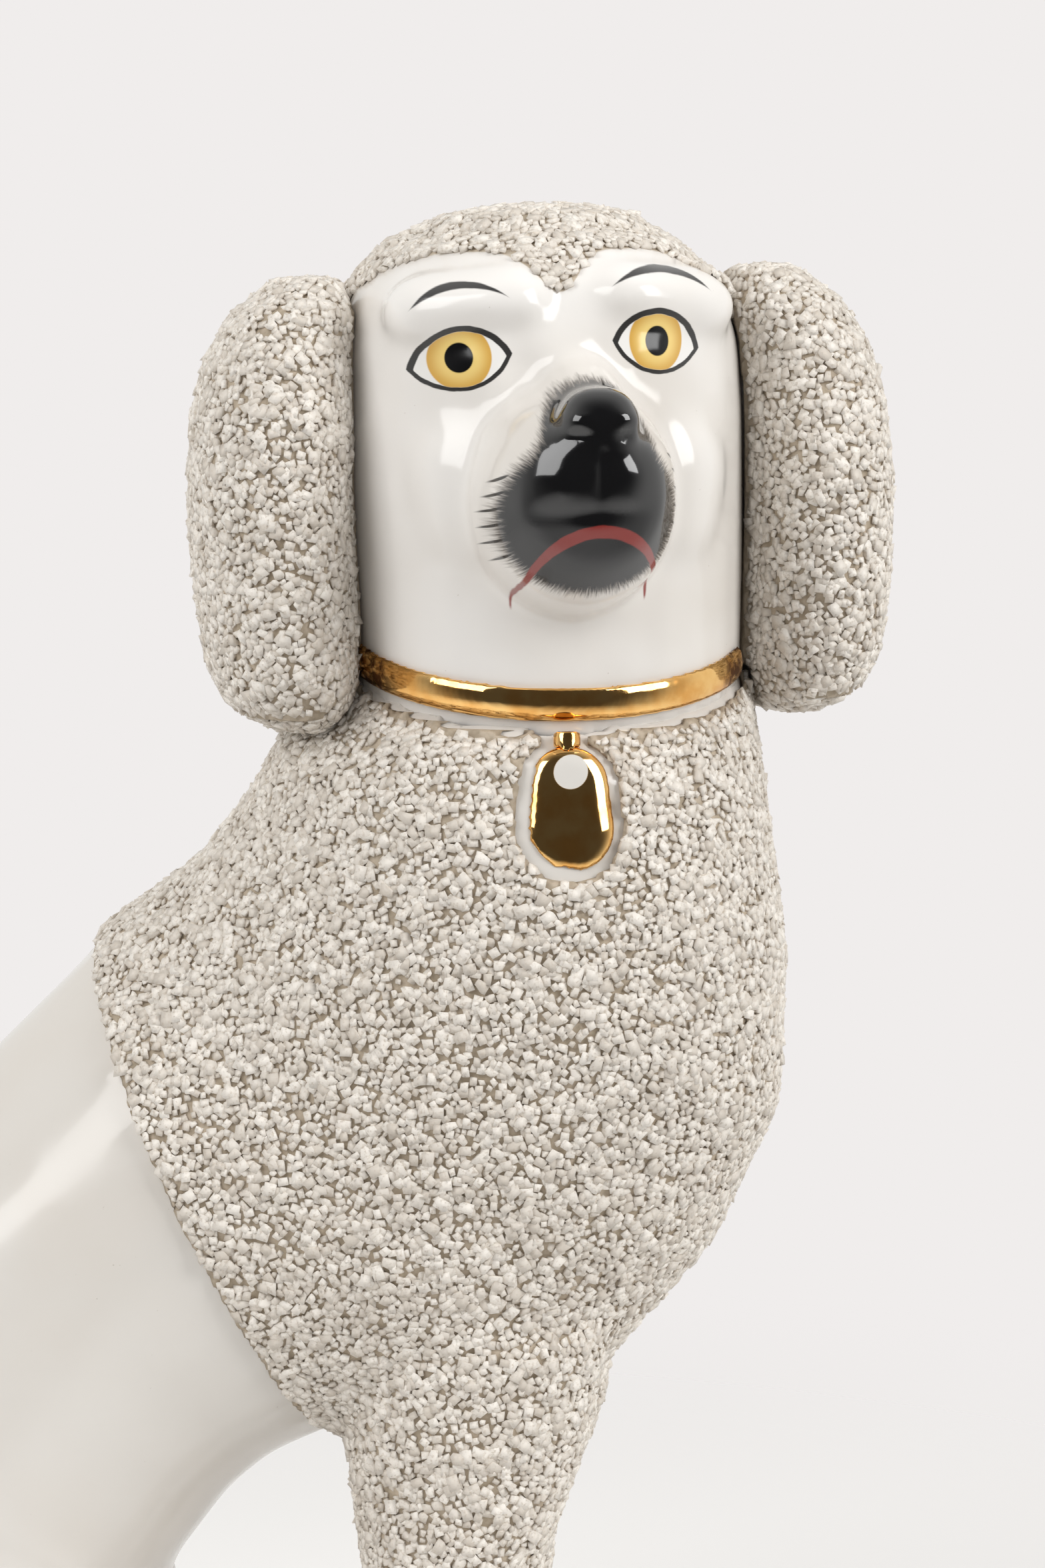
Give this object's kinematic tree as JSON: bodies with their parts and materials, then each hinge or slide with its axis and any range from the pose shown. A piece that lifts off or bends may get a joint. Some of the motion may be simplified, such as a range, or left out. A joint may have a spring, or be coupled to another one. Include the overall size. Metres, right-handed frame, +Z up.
{
  "type": "ceramic dog figurine",
  "caption": "Seated mantelpiece dog in white glazed earthenware, head turned to its flank, with a crushed clay coat, painted face, and gilt collar and locket.",
  "frame": {"origin": "middle of the slab under the haunches, on the plane the figure stands on", "axes": "+Z up, +X toward the chest, and the face looks mostly toward -Y"},
  "size_m": [0.262, 0.1366, 0.3548],
  "materials": {
    "glaze": "gloss",
    "clay_chips": "satin",
    "gilding": "polished",
    "bare_clay": "matte"
  },
  "bodies": {
    "root": {"body_shell": "glaze", "base_slab": "bare_clay", "head_shell": "glaze", "right_ear": "glaze", "left_ear": "glaze", "right_foreleg": "glaze", "left_foreleg": "glaze", "right_hind_paw": "glaze", "left_hind_paw": "glaze", "tail": "glaze", "collar_band": "gilding", "locket": "gilding", "locket_loop": "gilding", "head_grit": "clay_chips", "right_ear_grit": "clay_chips", "left_ear_grit": "clay_chips", "mantle_grit": "clay_chips", "right_foreleg_grit": "clay_chips", "left_foreleg_grit": "clay_chips", "tail_grit": "clay_chips"}
  },
  "joints": []
}
